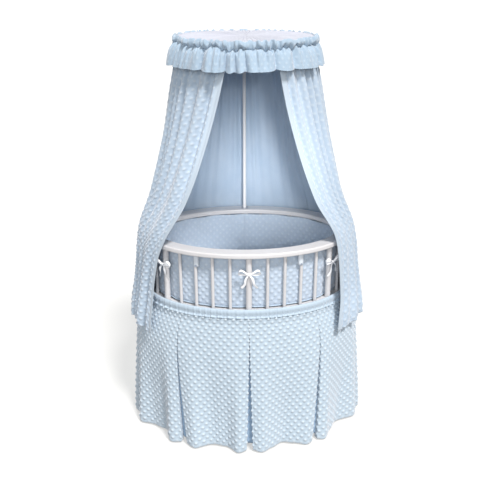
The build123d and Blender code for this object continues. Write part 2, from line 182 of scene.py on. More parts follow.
def mesh_object(name, verts, polys, mats, uvs=None, mat_of=None, flat=()):
    """polys is a list of (m, k) arrays of vertex indices. uvs matches it, with (m, k, 2) arrays. flat lists
    the arrays whose faces aren't smooth."""
    me = bpy.data.meshes.new(name)
    me.vertices.add(len(verts))
    me.vertices.foreach_set("co", np.ascontiguousarray(verts, np.float32).ravel())
    total = join([np.full(len(p), p.shape[1], np.int32) for p in polys])
    loops = join([p.ravel() for p in polys]).astype(np.int32)
    me.loops.add(len(loops))
    me.loops.foreach_set("vertex_index", loops)
    me.polygons.add(len(total))
    me.polygons.foreach_set("loop_start", rise(total[:-1]).astype(np.int32))
    me.polygons.foreach_set("loop_total", total)
    smooth = join([np.full(len(p), i not in flat) for i, p in enumerate(polys)])
    me.update(calc_edges=True)
    me.polygons.foreach_set("use_smooth", smooth)
    if mat_of is not None:
        index = join([np.broadcast_to(m, len(p)) for m, p in zip(mat_of, polys)])
        me.polygons.foreach_set("material_index", index.astype(np.int32))
    if uvs is not None:
        layer = me.uv_layers.new(name="cloth")
        flat_uvs = join([u.reshape(-1, 2) for u in uvs])
        layer.data.foreach_set("uv", flat_uvs.astype(np.float32).ravel())
    for m in mats:
        me.materials.append(m)
    me.update()
    return place(name, me)


def shell(name, outer, inner, uv, mats, k=1, wrap=False, cell_mat=None, rim_mat=1):
    """A closed sheet between two grids of points (rows, columns, 3), the inner one k times coarser. The
    inside takes material 1."""
    rows, cols = outer.shape[:2]
    wide = cols + 1 if wrap else cols
    r2, c2 = inner.shape[:2]
    wide2 = c2 + 1 if wrap else c2
    assert rows - 1 == k * (r2 - 1) and wide - 1 == k * (wide2 - 1), (name, outer.shape, inner.shape)
    base = rows * cols

    def oi(r, c):
        return r * cols + c % cols

    def ii(r, c):
        return base + r * c2 + c % c2

    def grid(index, n_rows, n_cols, skip):
        r, c = np.meshgrid(np.arange(n_rows - 1), np.arange(n_cols - 1), indexing="ij")
        r, c = r.ravel(), c.ravel()
        q = [(r, c), (r, c + 1), (r + 1, c + 1), (r + 1, c)]
        return (np.stack([index(a, b) for a, b in q], 1),
                np.stack([uv[a * skip, b * skip] for a, b in q], 1))

    quads, quv = grid(oi, rows, wide, 1)
    back, buv = grid(ii, r2, wide2, k)
    back, buv = back[:, ::-1], buv[:, ::-1]
    fine = np.arange(k, -1, -1)
    rims, ruvs = [], []

    def rim(ro, co, rn, cn):
        rims.append(join([oi(ro, co), ii(rn, cn)], 1))
        ruvs.append(join([uv[ro, co], uv[rn * k, cn * k]], 1))

    c = np.arange(wide2 - 1)[:, None]
    zero = np.zeros_like(c)
    rim(zero + 0 * fine, c * k + fine, zero + [[0, 0]], np.hstack([c, c + 1]))
    last = zero + rows - 1
    rim(last + 0 * fine, c * k + fine[::-1], zero + [[r2 - 1, r2 - 1]], np.hstack([c + 1, c]))
    if not wrap:
        r = np.arange(r2 - 1)[:, None]
        zero = np.zeros_like(r)
        rim(r * k + fine[::-1], zero + 0 * fine, np.hstack([r + 1, r]), zero + [[0, 0]])
        right = zero + cols - 1
        rim(r * k + fine, right + 0 * fine, np.hstack([r, r + 1]), zero + [[c2 - 1, c2 - 1]])
    polys, uvs = [quads, back, *rims], [quv, buv, *ruvs]
    verts = join([outer.reshape(-1, 3), inner.reshape(-1, 3)])
    mid = quads[len(quads) // 2 + wide // 2]
    face = np.cross(verts[mid[2]] - verts[mid[0]], verts[mid[3]] - verts[mid[1]])
    r, c = divmod(len(quads) // 2 + wide // 2, wide - 1)
    away = verts[mid[0]] - inner[min(r // k, r2 - 1), min(c // k, c2 - 1)]
    if face @ away < 0:
        polys, uvs = [p[:, ::-1] for p in polys], [u[:, ::-1] for u in uvs]
    face_mat = 0 if cell_mat is None else np.asarray(cell_mat).ravel()
    mat_of = [face_mat, 1] + [rim_mat] * len(rims)
    return mesh_object(name, verts, polys, mats, uvs, mat_of, flat=range(2, 2 + len(rims)))


def tube(path, across, half_w, half_t, closed=False, sides=8, square=0.5):
    """A flat or round strip along a path: verts, quads, uvs and caps. across is the width direction at each
    point, or everywhere."""
    across = np.broadcast_to(across, path.shape)
    n = len(path)
    tang = np.gradient(path, axis=0)
    if closed:
        tang = np.roll(path, -1, 0) - np.roll(path, 1, 0)
    tang /= np.linalg.norm(tang, axis=1, keepdims=True)
    side = across - (across * tang).sum(1, keepdims=True) * tang
    side /= np.linalg.norm(side, axis=1, keepdims=True)
    up = np.cross(tang, side)
    ang = (np.arange(sides) + 0.5) * TAU / sides
    cs, sn = np.cos(ang), np.sin(ang)
    cs, sn = np.sign(cs) * np.abs(cs) ** square, np.sign(sn) * np.abs(sn) ** square
    half_w = np.broadcast_to(half_w, n)[:, None, None]
    half_t = np.broadcast_to(half_t, n)[:, None, None]
    v = path[:, None] + side[:, None] * cs[None, :, None] * half_w
    v = v + up[:, None] * sn[None, :, None] * half_t
    runs = rise(np.linalg.norm(np.diff(path, axis=0), axis=1))
    m = n if closed else n - 1
    i, j = np.meshgrid(np.arange(m), np.arange(sides), indexing="ij")
    i, j = i.ravel(), j.ravel()
    i2, j2 = (i + 1) % n, (j + 1) % sides
    quads = np.stack([i * sides + j, i * sides + j2, i2 * sides + j2, i2 * sides + j], 1)
    run_end = np.append(runs, runs[-1] + 0.002)
    w = half_w.ravel()[0] * 2
    uv = np.stack([np.stack([run_end[a], w * b / sides], -1)
                   for a, b in ((i, j), (i, j + 1), (i + 1, j + 1), (i + 1, j))], 1)
    caps = []
    if not closed:
        caps = [np.arange(sides)[::-1][None], (np.arange(sides) + (n - 1) * sides)[None]]
    return v.reshape(-1, 3), quads, uv, caps


def join_tubes(name, parts, mats):
    """One object from several tubes; each is (verts, quads, uv, caps, material index)."""
    verts, quads, uvs, index, caps = ([] for _ in range(5))
    base = 0
    for v, q, uv, cp, mat in parts:
        verts.append(v)
        quads.append(q + base)
        uvs.append(uv)
        index.append(np.full(len(q), mat))
        caps += [(c + base, mat) for c in cp]
        base += len(v)
    polys = [join(quads), *(c for c, _ in caps)]
    uvs = [join(uvs), *(np.zeros((1, c.shape[1], 2)) for c, _ in caps)]
    index = [join(index), *(mat for _, mat in caps)]
    return mesh_object(name, join(verts), polys, mats, uvs, index, flat=range(1, len(polys)))


def piped(path, radius, closed=False):
    """Round cord sewn along an edge, as a part for join_tubes."""
    return (*tube(path, UP, radius, radius, closed=closed, square=1.0), 0)


# ---- materials

class Nodes:
    """A short way to write a node tree."""

    def __init__(self, name):
        self.mat = bpy.data.materials.new(name)
        self.mat.use_nodes = True
        self.tree = self.mat.node_tree
        self.tree.nodes.clear()
        self.out = self.tree.nodes.new("ShaderNodeOutputMaterial")
        self.bsdf = self.tree.nodes.new("ShaderNodeBsdfPrincipled")
        self.tree.links.new(self.bsdf.outputs[0], self.out.inputs[0])

    def put(self, socket, value):
        if isinstance(value, bpy.types.NodeSocket):
            self.tree.links.new(value, socket)
        elif value is not None:
            socket.default_value = value

    def add(self, kind, inputs=(), out=0, **props):
        n = self.tree.nodes.new(kind)
        for k, v in props.items():
            setattr(n, k, v)
        for k, v in (inputs.items() if isinstance(inputs, dict) else enumerate(inputs)):
            self.put(n.inputs[k], v)
        return n.outputs[out]

    def math(self, op, a, b=None):
        return self.add("ShaderNodeMath", [a, b], operation=op)

    def blend(self, a, k, b, m):
        """a * k + b * m"""
        return self.math("ADD", self.math("MULTIPLY", a, k), self.math("MULTIPLY", b, m))

    def uv(self):
        return self.add("ShaderNodeUVMap", uv_map="cloth")

    def object(self):
        return self.add("ShaderNodeTexCoord", out=3)

    def scale(self, vec, xyz):
        return self.add("ShaderNodeVectorMath", [vec, xyz], operation="MULTIPLY")

    def noise(self, vec, scale, detail=2.0, rough=0.5):
        return self.add("ShaderNodeTexNoise",
                        {"Vector": vec, "Scale": scale, "Detail": detail, "Roughness": rough})

    def bands(self, vec, scale, distortion, direction):
        """Fine parallel ribs across the cloth."""
        return self.add("ShaderNodeTexWave", {"Vector": vec, "Scale": scale, "Distortion": distortion},
                        wave_type="BANDS", bands_direction=direction, out=1)

    def ramp(self, x, low, high, to_low=0.0, to_high=1.0):
        return self.add("ShaderNodeMapRange", [x, low, high, to_low, to_high],
                        interpolation_type="SMOOTHSTEP")

    def mix(self, f, a, b):
        n = self.tree.nodes.new("ShaderNodeMix")
        n.data_type = "RGBA"
        for name, v in (("Factor_Float", f), ("A_Color", a), ("B_Color", b)):
            socket = next(s for s in n.inputs if s.identifier == name)
            self.put(socket, (*v, 1) if isinstance(v, tuple) and len(v) == 3 else v)
        return next(s for s in n.outputs if s.identifier == "Result_Color")

    def bump(self, height, strength, distance):
        return self.add("ShaderNodeBump", {"Height": height, "Strength": strength, "Distance": distance})

    def set(self, **values):
        names = {"color": "Base Color", "rough": "Roughness", "metal": "Metallic", "normal": "Normal",
                 "sheen": "Sheen Weight", "sheen_rough": "Sheen Roughness", "sheen_tint": "Sheen Tint",
                 "coat": "Coat Weight", "coat_rough": "Coat Roughness", "spec": "Specular IOR Level"}
        for k, v in values.items():
            if isinstance(v, tuple) and len(v) == 3:
                v = (*v, 1)
            self.put(self.bsdf.inputs[names[k]], v)
        return self.mat


def shade(colour, k):
    return tuple(c * k for c in colour)


def dot_mask(n, uv):
    """1 on the raised dots and 0 between them."""
    sep = n.tree.nodes.new("ShaderNodeSeparateXYZ")
    n.put(sep.inputs[0], uv)
    x, y = sep.outputs[0], sep.outputs[1]
    dx, dy = n.math("PINGPONG", x, DOT_U), n.math("PINGPONG", y, DOT_V)
    ex, ey = n.math("SUBTRACT", DOT_U, dx), n.math("SUBTRACT", DOT_V, dy)
    one, two = n.blend(dx, dx, dy, dy), n.blend(ex, ex, ey, ey)
    r = n.math("SQRT", n.math("MINIMUM", one, two))
    return n.ramp(r, DOT_R * 0.9, DOT_R * 0.25)


def plush(name, low, high, dotted=True, sheen=0.75, pile=0.6):
    """Short-pile plush. low is the ground between dots, darkened there as painted shade, and high the dots'
    tips, lightened as a painted highlight; without dots the two are a random tone of the tufts.
    """
    n = Nodes(name)
    uv = n.uv()
    patch = n.noise(uv, 14, 3, 0.6)
    tuft = n.noise(uv, 420, 2, 0.6)
    hair = n.noise(uv, 1500, 2, 0.7)
    if dotted:
        mask = dot_mask(n, uv)
        # painted shade on the ground between the raised dots and a painted highlight on their tips
        colour = n.mix(mask, low, high)
        height = n.blend(mask, 0.6, tuft, 0.35)
    else:
        colour = n.mix(tuft, low, high)
        height = n.math("MULTIPLY", tuft, 0.35)
    height = n.math("ADD", height, n.math("MULTIPLY", hair, 0.2))
    colour = n.mix(n.ramp(patch, 0.35, 0.7, 0.0, 0.16), colour, shade(low, 0.86))
    colour = n.mix(n.ramp(hair, 0.3, 0.7, 0.0, 0.12), colour, shade(high, 1.1))
    return n.set(color=colour, rough=n.ramp(hair, 0.2, 0.8, 0.82, 0.98), normal=n.bump(height, pile, 0.0012),
                 sheen=sheen, sheen_rough=0.45, sheen_tint=(1.0, 0.95, 0.95), spec=0.2)


def woven(name, low, high, threads=900.0, bump=0.25, pleat=0.0):
    """Plain woven cloth: fine threads both ways and soft patches. pleat is the width of pinned pleats, whose
    valleys are darkened as painted shade.
    """
    n = Nodes(name)
    uv = n.uv()
    warp, weft = (n.bands(uv, threads / 6.2, 0.6, way) for way in "XY")
    both = n.math("MULTIPLY", n.math("ADD", warp, weft), 0.5)
    patch = n.noise(uv, 9, 3, 0.6)
    colour = n.mix(n.ramp(patch, 0.3, 0.75), low, high)
    colour = n.mix(n.math("MULTIPLY", both, 0.12), colour, shade(low, 0.8))
    if pleat:
        sep = n.tree.nodes.new("ShaderNodeSeparateXYZ")
        n.put(sep.inputs[0], uv)
        # painted shade in the valleys of the pinned pleats
        pleat_valley_shade = n.ramp(n.math("PINGPONG", sep.outputs[0], pleat / 2), pleat * 0.22, 0.0)
        colour = n.mix(n.math("MULTIPLY", pleat_valley_shade, 0.5), colour, shade(low, 0.72))
    return n.set(color=colour, rough=0.8, normal=n.bump(both, bump, 0.0004), sheen=0.15,
                 sheen_rough=0.4, spec=0.25)


def painted(name, colour, worn, rough=0.36, stretch=(6, 6, 40)):
    """Satin paint over wood: faint grain, brush marks, and thin wear on rubbed places."""
    n = Nodes(name)
    at = n.object()
    long = n.noise(n.scale(at, stretch), 4, 5, 0.65)
    fine = n.noise(at, 260, 3, 0.6)
    rub = n.ramp(n.noise(at, 23, 4, 0.7), 0.62, 0.8, 0.0, 0.35)
    base = n.mix(n.ramp(long, 0.3, 0.7, 0.0, 0.3), colour, shade(colour, 0.95))
    base = n.mix(rub, base, worn)
    height = n.blend(long, 0.7, fine, 0.3)
    return n.set(color=base, rough=n.ramp(fine, 0.25, 0.75, rough - 0.06, rough + 0.1),
                 normal=n.bump(height, 0.05, 0.001), coat=0.12, coat_rough=0.3, spec=0.45)


def metal(name, colour, rough, painted_on=False):
    n = Nodes(name)
    at = n.object()
    lines = n.noise(n.scale(at, (1, 1, 60)), 30, 3, 0.6)
    peel = n.noise(at, 700, 2, 0.5)
    base = n.mix(n.ramp(lines, 0.3, 0.7, 0.0, 0.4), colour, shade(colour, 0.86))
    return n.set(color=base, metal=0.0 if painted_on else 1.0,
                 rough=n.ramp(lines, 0.25, 0.75, rough - 0.07, rough + 0.1),
                 normal=n.bump(peel if painted_on else lines, 0.12, 0.0004), spec=0.5,
                 coat=0.15 if painted_on else 0.0, coat_rough=0.25)


def moulded(name, colour, rough, grain=900.0, bump=0.2):
    n = Nodes(name)
    at = n.object()
    texture = n.noise(at, grain, 3, 0.6)
    dirt = n.noise(at, 35, 4, 0.65)
    base = n.mix(n.ramp(dirt, 0.45, 0.8, 0.0, 0.5), colour, shade(colour, 0.8))
    return n.set(color=base, rough=n.ramp(texture, 0.2, 0.8, rough - 0.08, rough + 0.1),
                 normal=n.bump(texture, bump, 0.0005), spec=0.4)


def satin(name, colour):
    n = Nodes(name)
    uv = n.uv()
    ribs = n.bands(uv, 260.0, 0.3, "Y")
    cloud = n.noise(uv, 60, 2, 0.5)
    base = n.mix(n.ramp(cloud, 0.3, 0.7, 0.0, 0.4), colour, shade(colour, 0.94))
    return n.set(color=base, rough=n.ramp(cloud, 0.2, 0.8, 0.3, 0.42), normal=n.bump(ribs, 0.1, 0.0002),
                 sheen=0.3, sheen_rough=0.3, spec=0.6)


# In the dotted plush (skirt, drape, ruffle, pad) the first colour is the cloth's ground, darkened as painted
# shade between the dots, and the second its dot tips, lightened as a painted highlight.
SHADED_GROUND, LIT_TIP = (0.44, 0.53, 0.61), (0.57, 0.64, 0.70)
DRAPE_SHADED_GROUND, DRAPE_LIT_TIP = (0.43, 0.52, 0.62), (0.53, 0.60, 0.67)
M = {
    "skirt": plush("plush_dotted", SHADED_GROUND, LIT_TIP),
    "drape": plush("plush_drape", DRAPE_SHADED_GROUND, DRAPE_LIT_TIP),
    "ruffle": plush("plush_ruffle", (0.37, 0.475, 0.58), (0.44, 0.535, 0.625), pile=0.8),
    "edge": plush("plush_edge", (0.43, 0.51, 0.59), (0.49, 0.56, 0.63), dotted=False, pile=0.3),
    "lining": woven("lining", (0.45, 0.56, 0.69), (0.50, 0.60, 0.72)),
    # the inner faces and the pleat backs: the same cloth in a deeper blue, painted shade for the slits and
    # the panels' backs
    "inside": plush("plush_inside_painted_shade", (0.30, 0.42, 0.56), (0.36, 0.48, 0.62), dotted=False, sheen=0.1),
    "band": plush("plush_band", (0.42, 0.52, 0.62), (0.51, 0.60, 0.68), dotted=False),
    "pad": plush("plush_pad", (0.48, 0.565, 0.67), (0.55, 0.625, 0.71)),
    "piping": woven("piping", (0.44, 0.54, 0.65), (0.50, 0.60, 0.70)),
    "cover": woven("cover", (0.48, 0.49, 0.56), (0.54, 0.55, 0.61), threads=700.0, pleat=0.02133),
    "ribbon": satin("satin_ribbon", (0.93, 0.93, 0.95)),
    "strap": woven("strap", (0.70, 0.75, 0.81), (0.74, 0.78, 0.84)),
    "snap": metal("snap", (0.36, 0.42, 0.52), 0.35),
    "ticking": woven("ticking", (0.80, 0.84, 0.89), (0.86, 0.88, 0.92), threads=500.0, bump=0.4),
}
SLOTS = {
    "painted_wood": painted("painted_wood", (0.655, 0.64, 0.645), (0.60, 0.575, 0.57)),
    "board": painted("board", (0.80, 0.76, 0.70), (0.72, 0.66, 0.58), rough=0.5, stretch=(40, 4, 4)),
    "painted_steel": metal("painted_steel", (0.86, 0.85, 0.86), 0.34, painted_on=True),
    "steel": metal("steel", (0.60, 0.60, 0.62), 0.3),
    "knob_plastic": moulded("knob_plastic", (0.84, 0.84, 0.83), 0.4),
    "caster_metal": metal("caster_metal", (0.62, 0.62, 0.64), 0.32),
    "caster_tread": moulded("caster_tread", (0.17, 0.17, 0.18), 0.62, grain=500.0, bump=0.35),
    "brake_plastic": moulded("brake_plastic", (0.78, 0.78, 0.78), 0.42),
}
for part in frame["record"]["subparts"]:
    if part["material_slot"] in SLOTS:
        mesh = NODES[part["node"]].data
        mesh.materials.clear()
        mesh.materials.append(SLOTS[part["material_slot"]])


# ---- skirt

SKIRT = np.array([  # z, half length, half depth, slit, as in the CAD model
    (0.012, 0.4700, 0.346, 0.0240), (0.150, 0.4630, 0.329, 0.0170), (0.390, 0.4460, 0.300, 0.0054),
    (0.440, 0.4370, 0.292, 0.0034), (0.490, 0.4200, 0.284, 0.0016), (0.524, 0.4020, 0.278, 0.0008)])
SKIRT_TOP, SKIRT_HEM = 0.556, 0.0070
PLEATS_TOP = [0.0, 39.3, 77.0, 109.0, 144.0, 180.0, 216.0, 251.0, 283.0, 320.7, 360.0]
PLEATS_HEM = [0.0, 33.4, 76.0, 108.0, 146.0, 180.0, 214.0, 252.0, 284.0, 326.6, 360.0]


def skirt_oval(z):
    """Half length, half depth, slit, and how far down (0 at the band, 1 at the hem)."""
    zc = np.clip(z, 0.012, 0.524)
    a, b, slit = (through(zc, SKIRT[:, 0], SKIRT[:, j]) for j in (1, 2, 3))
    tuck = 0.0075 * step(z, 0.541, 0.552)      # the head goes in under the band
    return a - tuck, b - tuck, slit, (0.524 - zc) / 0.512


def pleat_turn(i, f):
    return np.radians(lerp(PLEATS_TOP[i], PLEATS_HEM[i], f))


def skirt_panel(i):
    """One panel: flat at the band, swelling beside its pleats and falling back between them to the hem."""
    rng = np.random.default_rng(100 + i)
    k = 4
    z = np.linspace(SKIRT_TOP, SKIRT_HEM, 205)
    a, b, slit, f = skirt_oval(z)
    t0, t1 = pleat_turn(i - 1, f), pleat_turn(i, f)
    head, foot = (oval_length(a[r], b[r], t0[r], t1[r]) for r in (0, -1))
    width = lerp(head, foot, 0.6)
    rows, cols = len(z), int(round(width / 0.0025 / k)) * k + 1
    u = np.linspace(0, 1, cols)
    turn_in = 0.022                            # the cloth that turns in at each pleat
    tuck = turn_in / (width + 2 * turn_in)
    mid = np.clip((u - tuck) / (1 - 2 * tuck), 0, 1)
    out = np.zeros((rows, cols, 3))
    crest0, crest1 = rng.uniform(0.11, 0.17), 1 - rng.uniform(0.10, 0.16)
    low_at, low2 = rng.uniform(0.40, 0.6), rng.uniform(0.10, 0.40)
    depth, lean = rng.uniform(0.036, 0.048) * min(1, width / 0.25), rng.uniform(-0.2, 0.2)
    small = rng.uniform(2.6, 3.6)
    for r in range(rows):
        g = slit[r] / 2
        g0, g1 = (g / speed(a[r], b[r], t[r]) for t in (t0, t1))
        turn = turns_at(a[r], b[r], t0[r] + g0, t1[r] - g1, mid)
        p, n = oval(a[r], b[r], turn)
        grow = step(f[r], 0.02, 1.08) ** 1.1
        dip = np.where(mid < low_at, step(mid, crest0, low_at), step(-mid, -crest1, -low_at))
        dip = dip * (1 - low2 * bell(mid, low_at + lean * 0.3, 0.12))
        crest = bell(mid, crest0, 0.09) + bell(mid, crest1, 0.09)
        off = grow * (0.007 * crest - depth * dip)
        off -= 0.0028 * grow * np.sin(TAU * (small * mid + 0.4 * f[r] + i)) * step(f[r], 0.2, 1)
        off -= 0.0035 * f[r] * (bell(mid, 0, 0.05) + bell(mid, 1, 0.05))
        p = p + n * off[:, None]
        # the edges: round the corner of the pleat, then straight in behind it
        for share, at, way in ((u / tuck, 0, -1), ((1 - u) / tuck, -1, 1)):
            e = np.clip(share, 0, 1)
            edge = e < 1
            run = (1 - e[edge]) * turn_in
            rad = lerp(0.0012, 0.0055, f[r])
            ang = np.clip(run / rad, 0, math.pi / 2)
            tang = np.cross([0, 0, 1.0], n[at]) * way
            inward = rad * (1 - np.cos(ang)) + (run - ang * rad) * lerp(0.35, 1.0, f[r])
            p[edge] += tang * (rad * np.sin(ang) * -0.25)[:, None] - n[at] * inward[:, None]
        out[r] = p
        out[r, :, 2] = z[r]
    drop = 0.0035 * (bell(mid, crest0, 0.12) + bell(mid, crest1, 0.12))
    wave = wander(u, 4, 0.0014)
    out[:, :, 2] += step(f, 0.75, 1)[:, None] * (0.0030 + wave - drop)[None, :]
    run = rise(np.hypot(np.diff(z), np.diff(a)))
    uv = grid_uv(u * (width + 2 * turn_in) + 0.007 * i, run)
    centre = rows // 2, cols // 2
    nv = facing(normals(out), centre, out[centre] * [1, 1, 0])
    inner = out - nv * PLUSH
    body = step(np.minimum(u, 1 - u) * (width + 2 * turn_in), 0.006, 0.016)[None, :]
    body = body * step(-f, -1.0, -0.985)[:, None] * step(-z, -0.549, -0.543)[:, None]
    outer = out + nv * (dots(uv[..., 0], uv[..., 1], DOT_H) * body)[..., None]
    ob = shell(f"skirt_cloth_{i}", outer, inner[::k, ::k], uv, [M["skirt"], M["inside"], M["edge"]],
               k=k, rim_mat=2)
    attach(ob, "frame")
    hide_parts(f"skirt_panel_{i}")


for i in range(1, 11):
    skirt_panel(i)


def pleat_backs():
    """The ten inside strips of the inverted pleats, each a soft fold behind its slit, in a darker blue that
    is painted shade.
    """
    verts, polys, uvs, base = [], [], [], 0
    rows, cols = 49, 17
    for i in range(10):
        z = np.linspace(SKIRT_TOP - 0.002, SKIRT_HEM + 0.016, rows)
        a, b, _, f = skirt_oval(z)
        at = pleat_turn(i, f)
        u = np.linspace(-1, 1, cols)
        grid = np.zeros((rows, cols, 3))
        nrm = np.zeros_like(grid)
        for r in range(rows):
            half = lerp(0.026, 0.042, f[r])
            p, n = oval(a[r], b[r], at[r] + u * half / speed(a[r], b[r], at[r]))
            inset = lerp(0.0040, 0.024, f[r] ** 0.8) + 0.006 * f[r] * np.cos(u * math.pi * 1.3 + i)
            grid[r], nrm[r] = p - n * inset[:, None], n
            grid[r, :, 2] = z[r]
        both = join([grid.reshape(-1, 3), (grid - nrm * PLUSH).reshape(-1, 3)])
        idx = np.arange(rows * cols).reshape(rows, cols)
        q = np.stack([idx[:-1, :-1], idx[1:, :-1], idx[1:, 1:], idx[:-1, 1:]], -1).reshape(-1, 4)
        loop = join([idx[0], idx[1:, -1], idx[-1, -2::-1], idx[-2:0:-1, 0]])
        nxt = np.roll(loop, -1)
        m = rows * cols
        rim = np.stack([loop, nxt, nxt + m, loop + m], 1)
        flat_uv = grid_uv(u * 0.035 + 0.2 * i, z).reshape(-1, 2)
        flat_uv = join([flat_uv, flat_uv])
        quads = join([q, (q + m)[:, ::-1], rim])
        verts.append(both)
        polys.append(quads + base)
        uvs.append(flat_uv[quads])
        base += len(both)
    ob = mesh_object("pleat_backs", join(verts), [join(polys)], [M["inside"]],
                     [join(uvs)])
    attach(ob, "frame")
    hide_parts("skirt_pleats")


pleat_backs()


def skirt_band():
    """The gathered heading round the lower rail: a soft welt with small gathers and a wavy lower edge."""
    cols, rows = 1440, 22
    t = turns_at(*RAIL, 0, TAU, np.arange(cols + 1) / cols)[:-1]
    u = np.arange(cols) / cols
    gather = folds(96 * u + wander(u, 12, 2.2)) * 0.6 + folds(171 * u + wander(u, 12, 2.6)) * 0.4
    gather *= np.clip(1 + wander(u, 15, 0.8, 6), 0.2, 1.6)
    slow = wander(u, 8, 1.0, 3)
    v = np.linspace(0, 1, rows)
    z_top, z_low = 0.5740, 0.5475
    off = through(v, [0, 0.10, 0.22, 0.40, 0.64, 0.8, 1.0],
                  [-0.0058, -0.0012, 0.0058, 0.0096, 0.0080, 0.0072, 0.0118])
    amp = through(v, [0, 0.2, 0.5, 0.72, 1.0], [0.0003, 0.0008, 0.0012, 0.0007, 0.0034])
    level = through(v, [0, 0.10, 0.22, 0.40, 1.0], [z_top, 0.5800, 0.5805, 0.5705, z_low])
    grid = np.zeros((rows, cols, 3))
    low = grid.copy()
    for r in range(rows):
        p, n = oval(*RAIL_FACE, t)
        d = off[r] + amp[r] * gather + 0.0004 * slow * v[r]
        grid[r] = p + n * d[:, None]
        grid[r, :, 2] = level[r] + step(v[r], 0.6, 1) * (0.0026 * gather + 0.0018 * slow)
        over = float(step(-v[r], -0.36, -0.16))      # the part that lies on top of the rail
        low[r] = p + n * (d - lerp(PLUSH, 0.0, over))[:, None]
        low[r, :, 2] = grid[r, :, 2] - PLUSH * over
    uu = np.append(u, 1.0) * oval_length(*RAIL, 0, TAU)
    uv = grid_uv(uu, v * 0.05)
    ob = shell("band_cloth", grid, low, uv, [M["band"], M["edge"]], wrap=True)
    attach(ob, "frame")
    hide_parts("skirt_band")


skirt_band()


# ---- canopy cloth

DRAPE = np.array([  # z, half length, half depth, centre y, right edge's turn, left edge's turn
    (0.456, 0.456, 0.322, 0.002, 48, 54), (0.467, 0.456, 0.322, 0.002, 48, 54),
    (0.600, 0.438, 0.312, 0.004, 52, 54), (0.740, 0.420, 0.305, 0.006, 52.5, 52),
    (0.820, 0.406, 0.301, 0.008, 51.5, 48), (0.969, 0.353, 0.284, 0.019, 42, 38),
    (1.168, 0.301, 0.268, 0.034, 33, 28.5), (1.335, 0.268, 0.256, 0.044, 26.5, 21),
    (1.484, 0.2408, 0.2408, 0.050, 22.8, 15)])
CLOTH_W = {"right": 0.75, "back": 0.72, "left": 0.78}
FOLD_COUNT = 36
_phase = [(RNG.normal() / k**0.5, RNG.uniform(0, TAU)) for k in range(2, 12)]
_size = [(RNG.normal() / k**0.5, RNG.uniform(0, TAU)) for k in range(3, 16)]


def drape_folds(s, z):
    """Fold offset (-1..1) at cloth share s (0..1 round the whole canopy) and height z."""
    warp = sum(a * np.sin(TAU * k * s + p) for k, (a, p) in enumerate(_phase, 2)) * 0.22
    size = 1 + 0.30 * sum(a * np.sin(TAU * k * s + p) for k, (a, p) in enumerate(_size, 3)) / 2
    lowness = step(-z, -1.40, -0.95)
    sway = 0.10 * np.sin(TAU * (3 * s + 0.8 * z)) + 0.06 * np.sin(TAU * (7 * s - 1.3 * z))
    main = folds(FOLD_COUNT * s + warp + sway * lowness, 0.2)
    broad = folds(FOLD_COUNT / 2 * s + warp * 0.5 + 0.2 + sway * lowness, 0.1)
    fine = folds(2.6 * FOLD_COUNT * s + warp * 3)
    top = step(z, 1.32, 1.47)
    hanging = main * lerp(1.0, 0.75, lowness) + broad * lerp(0.15, 0.45, lowness)
    f = lerp(hanging, 0.55 * main + 0.45 * fine, top)
    return np.clip(f * np.clip(size, 0.45, 1.4), -1.35, 1.35)


def drape_amp(z):
    return through(z, [0.45, 0.60, 0.72, 0.80, 0.90, 1.10, 1.35, 1.44, 1.485],
                   [0.0115, 0.0098, 0.0070, 0.0048, 0.0078, 0.0112, 0.0108, 0.0080, 0.0034])


